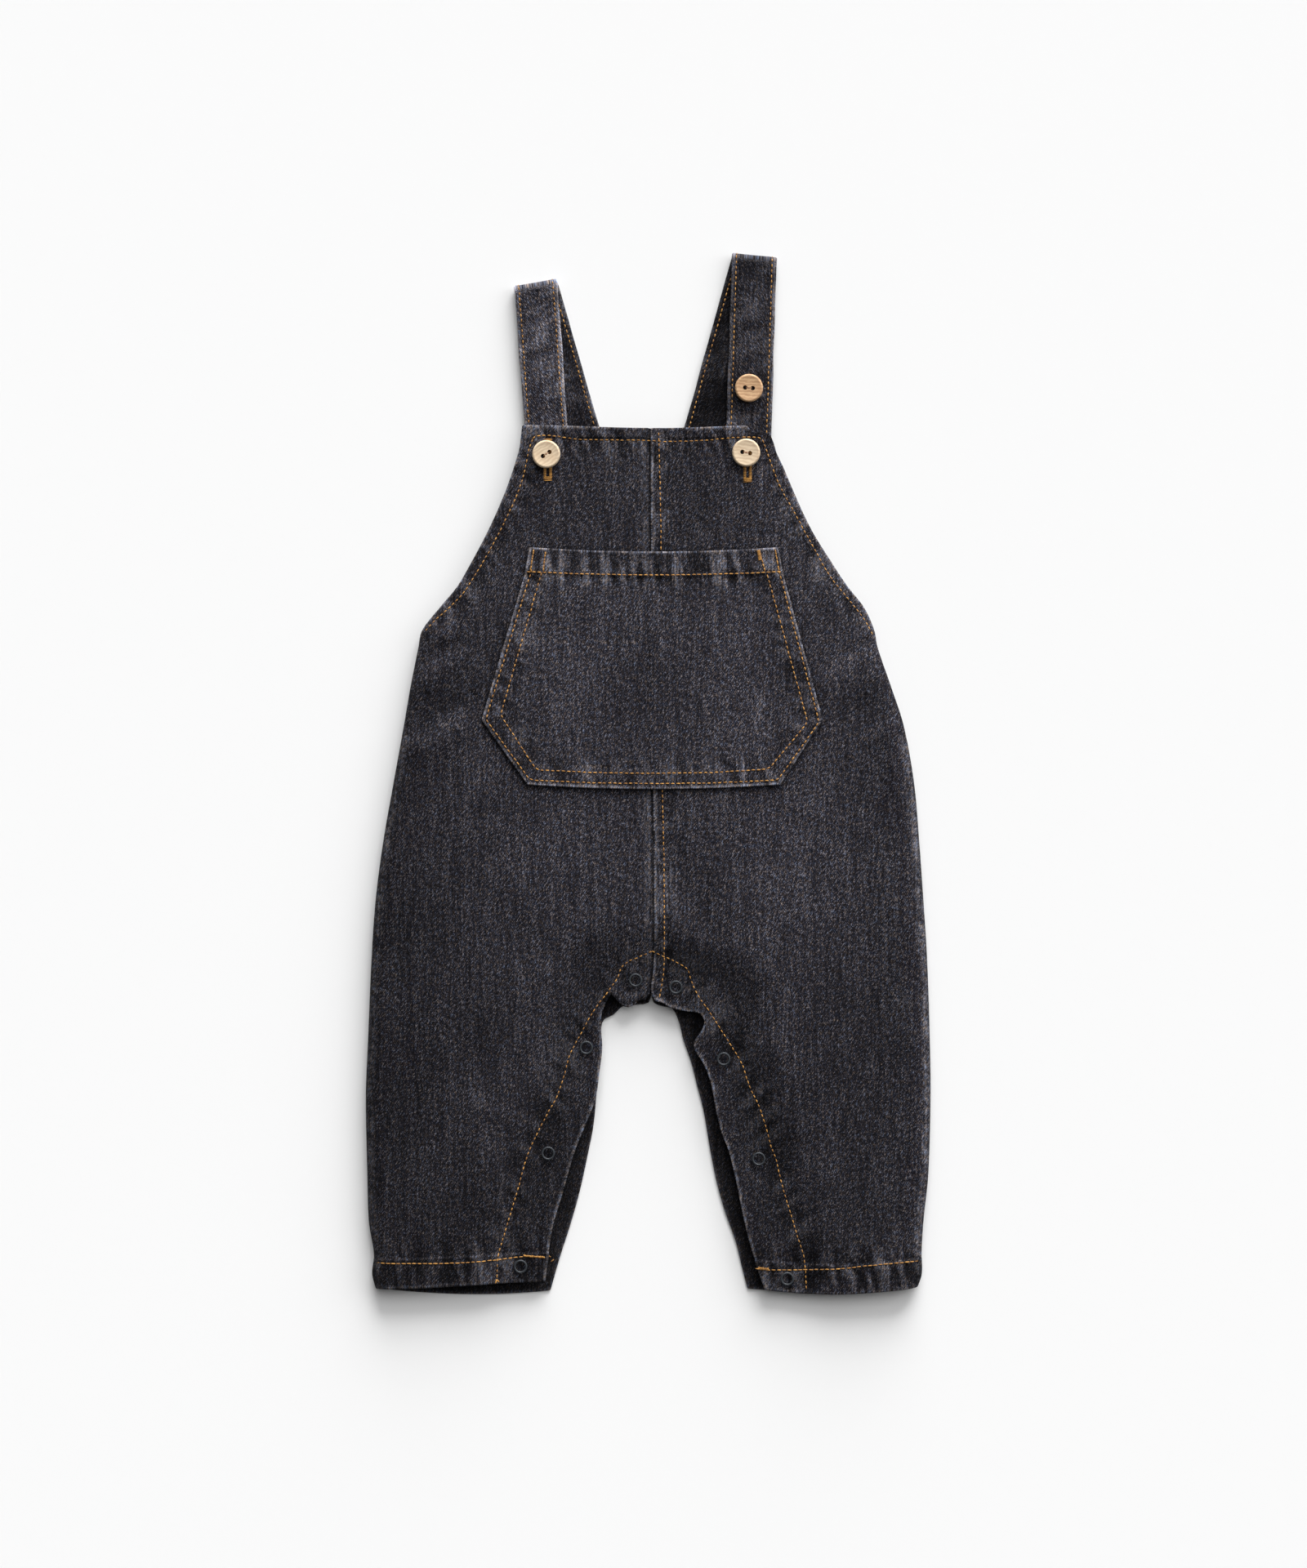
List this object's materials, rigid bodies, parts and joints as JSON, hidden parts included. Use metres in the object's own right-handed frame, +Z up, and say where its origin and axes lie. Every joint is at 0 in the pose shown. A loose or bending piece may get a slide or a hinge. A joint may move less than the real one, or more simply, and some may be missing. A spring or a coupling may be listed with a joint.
{
  "type": "dungarees",
  "caption": "Baby's washed denim dungarees laid flat, front up: bib with kangaroo pocket, folded straps with wooden buttons, and a snap placket along the crotch and inner legs",
  "frame": {"origin": "middle of the footprint, on the surface that the garment lies on", "axes": "+X right and +Y towards the straps as seen from above, +Z up out of the surface through the front"},
  "size_m": [0.3032, 0.5596, 0.0141],
  "materials": {
    "denim": "washed black twill, worn pale along seams and hems",
    "denim_inside": "darker twill of the back and the inside",
    "wood": "pale turned wood, satin",
    "thread": "orange-brown topstitching thread",
    "snap_metal": "dark blue-grey painted ring snaps"
  },
  "bodies": {
    "root": {"front_left": "denim", "back_left": "denim_inside", "strap_left": "denim", "front_right": "denim", "back_right": "denim_inside", "strap_right": "denim", "pocket": "denim", "button_left": "wood", "button_thread_left": "thread", "button_right": "wood", "button_thread_right": "thread", "button_spare": "wood", "button_thread_spare": "thread", "snap_cap_crotch_left": "snap_metal", "snap_crotch_left": "snap_metal", "snap_cap_crotch_right": "snap_metal", "snap_crotch_right": "snap_metal", "snap_cap_thigh_left": "snap_metal", "snap_thigh_left": "snap_metal", "snap_cap_thigh_right": "snap_metal", "snap_thigh_right": "snap_metal", "snap_cap_knee_left": "snap_metal", "snap_knee_left": "snap_metal", "snap_cap_knee_right": "snap_metal", "snap_knee_right": "snap_metal", "snap_cap_hem_left": "snap_metal", "snap_hem_left": "snap_metal", "snap_cap_hem_right": "snap_metal", "snap_hem_right": "snap_metal"}
  },
  "joints": []
}
